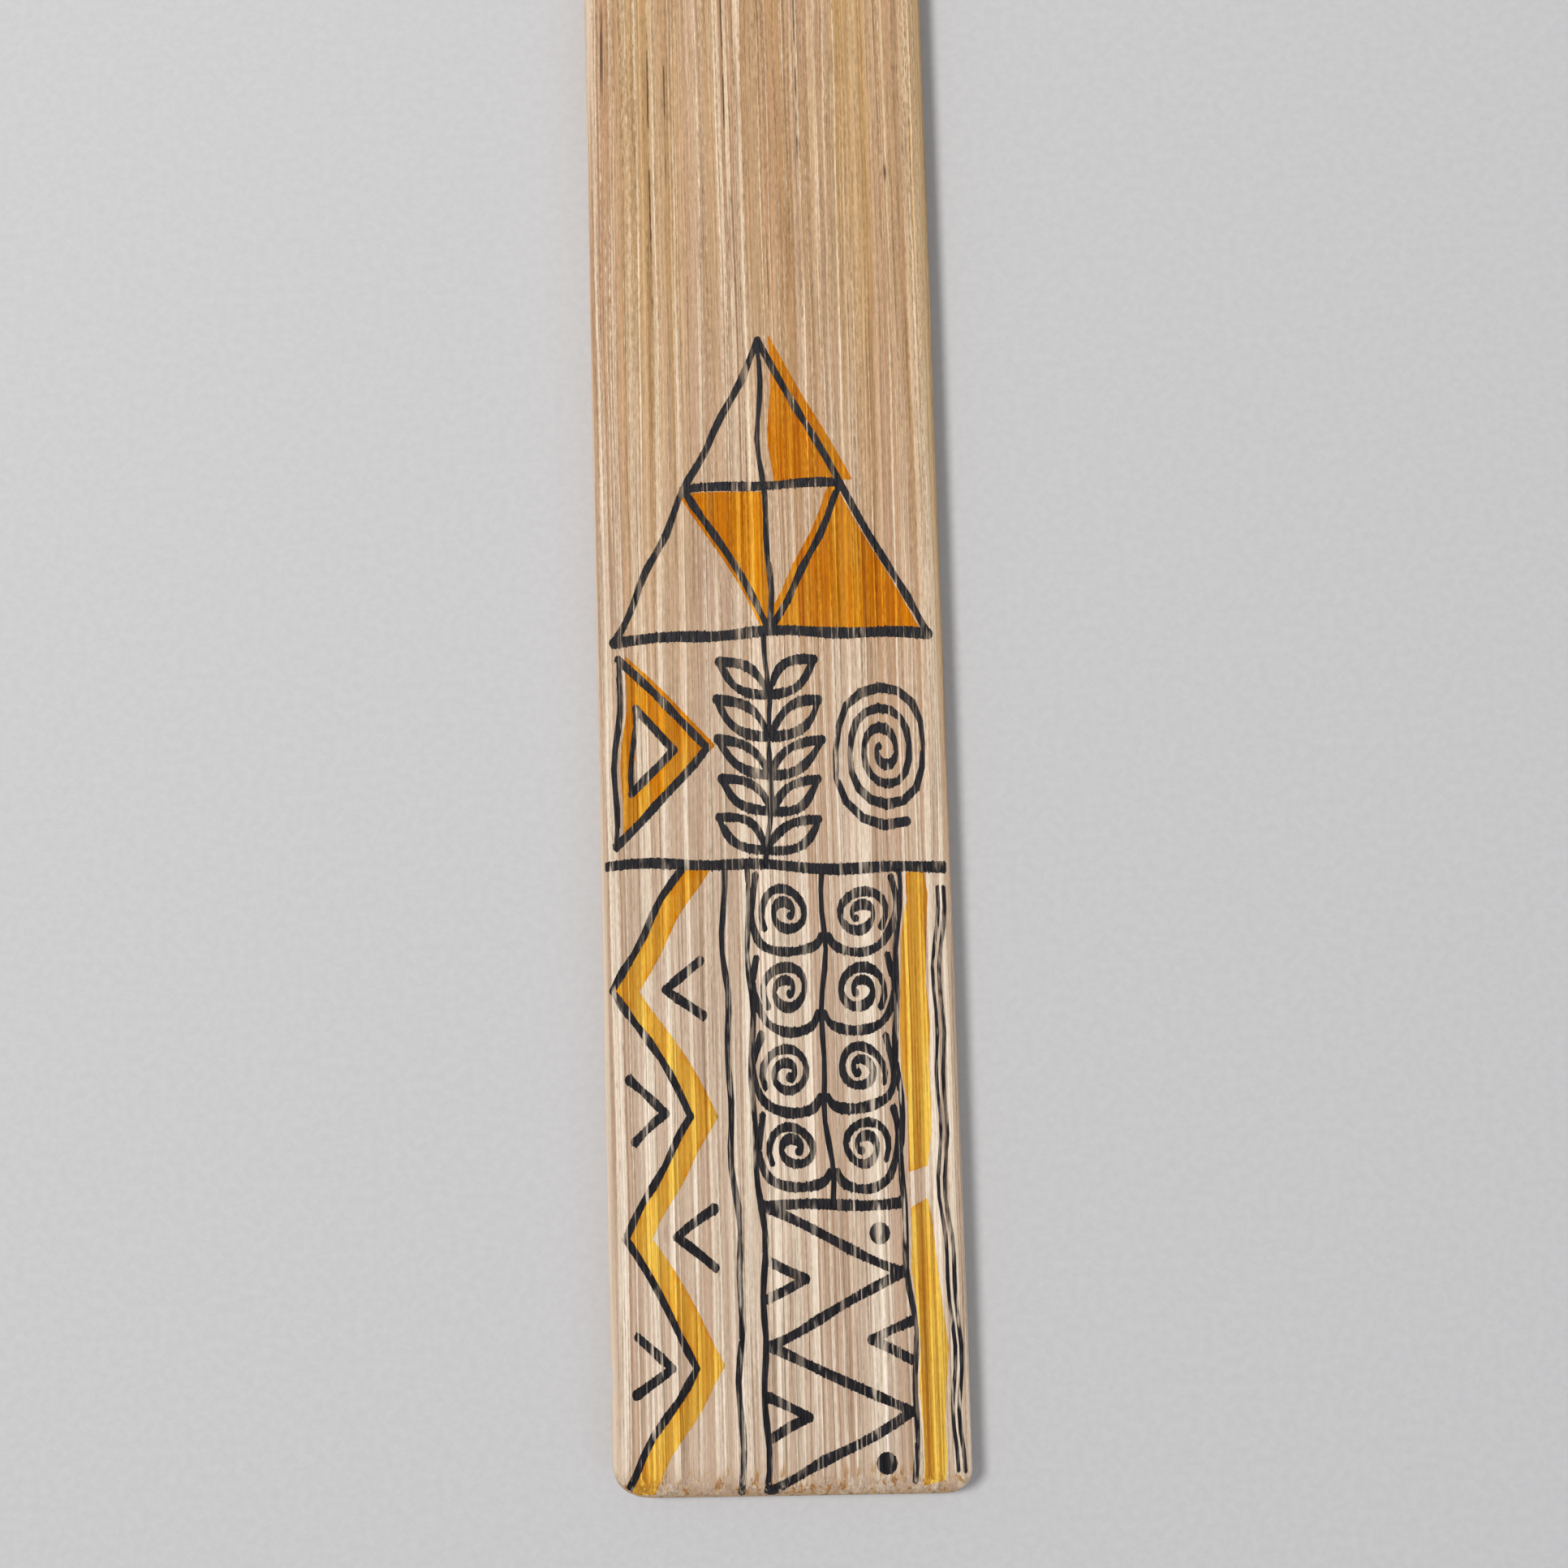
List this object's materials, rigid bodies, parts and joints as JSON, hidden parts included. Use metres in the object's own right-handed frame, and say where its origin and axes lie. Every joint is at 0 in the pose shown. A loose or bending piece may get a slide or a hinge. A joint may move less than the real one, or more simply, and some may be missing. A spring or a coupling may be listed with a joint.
{
  "type": "bone folder",
  "caption": "Flat bamboo strip for creasing paper, with one square end, one thin rounded tip and a pen and marker pattern on its face.",
  "frame": {"origin": "under the middle of the strip, on the surface that it lies on", "axes": "+Z out of the decorated face, +Y along the strip from the square end to the creasing tip, +X to the right of the pattern"},
  "size_m": [0.025, 0.152, 0.003],
  "materials": {
    "bamboo": "sanded, bare, satin",
    "black_ink": "dry pigment ink, satin",
    "amber_ink": "dry translucent marker ink, satin"
  },
  "bodies": {
    "root": {"bamboo_strip": "bamboo", "ink_gable": "black_ink", "ink_great_scroll": "black_ink", "ink_petal_sprig": "black_ink", "ink_nested_triangles": "black_ink", "ink_cross_line": "black_ink", "ink_scrolls_left": "black_ink", "ink_scrolls_right": "black_ink", "ink_scroll_divider": "black_ink", "ink_wide_zigzag": "black_ink", "ink_chevrons": "black_ink", "ink_long_lines": "black_ink", "ink_panel_zigzag": "black_ink", "ink_panel_triangles": "black_ink", "ink_edge_lines": "black_ink", "marker_gable_facets": "amber_ink", "marker_nested_triangles": "amber_ink", "marker_zigzag_band": "amber_ink", "marker_upper_stripe": "amber_ink", "marker_lower_stripe": "amber_ink"}
  },
  "joints": []
}
